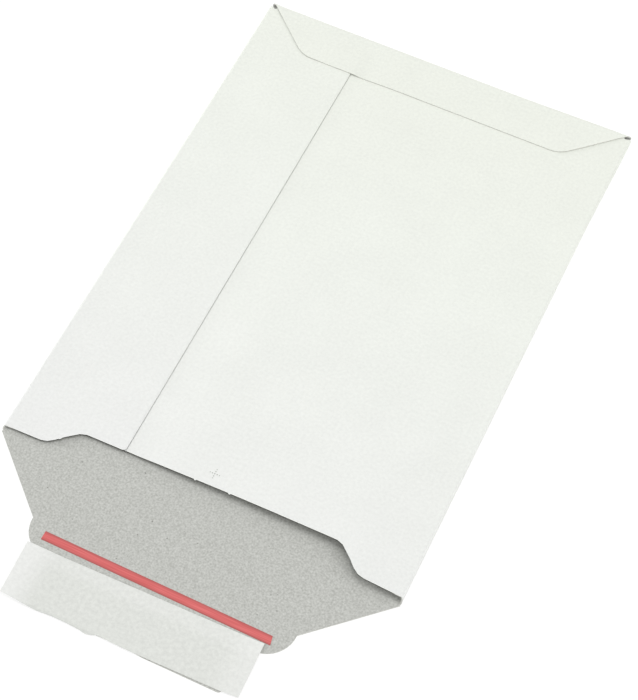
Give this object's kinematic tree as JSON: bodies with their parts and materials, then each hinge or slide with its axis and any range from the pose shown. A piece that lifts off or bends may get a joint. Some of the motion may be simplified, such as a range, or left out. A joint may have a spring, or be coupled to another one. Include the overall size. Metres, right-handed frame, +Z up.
{
  "type": "cardboard envelope",
  "caption": "Flat mailing envelope folded from solid board, glued at the seam and bottom flap, with a hinged closing flap, tear strip and release liner.",
  "frame": {"origin": "middle of the front panel's outer face, on the surface that the envelope lies on", "axes": "+Z up, out of the back; +Y along the envelope from the mouth to the bottom fold; +X to the right seen from above with the mouth near"},
  "size_m": [0.176, 0.3127, 0.0052],
  "materials": {
    "white_lined_board": "matt white liner of recycled pulp, grey inside",
    "grey_board": "uncoated recycled greyboard with fibre flecks, white outside",
    "tear_tape": "satin red film tape",
    "adhesive_film": "clear tacky film",
    "silicone_paper": "translucent glassine with a satin silicone coat"
  },
  "bodies": {
    "envelope": {"envelope_body": "white_lined_board"},
    "flap": {"closing_flap": "grey_board", "tear_strip": "tear_tape", "adhesive_strip": "adhesive_film", "release_liner": "silicone_paper"}
  },
  "joints": [
    {"name": "flap_crease", "type": "hinge", "parent": "envelope", "child": "flap", "pos_m": [0, -0.125, 0.003], "axis": [-1, 0, 0], "range_deg": [0, 179]}
  ]
}
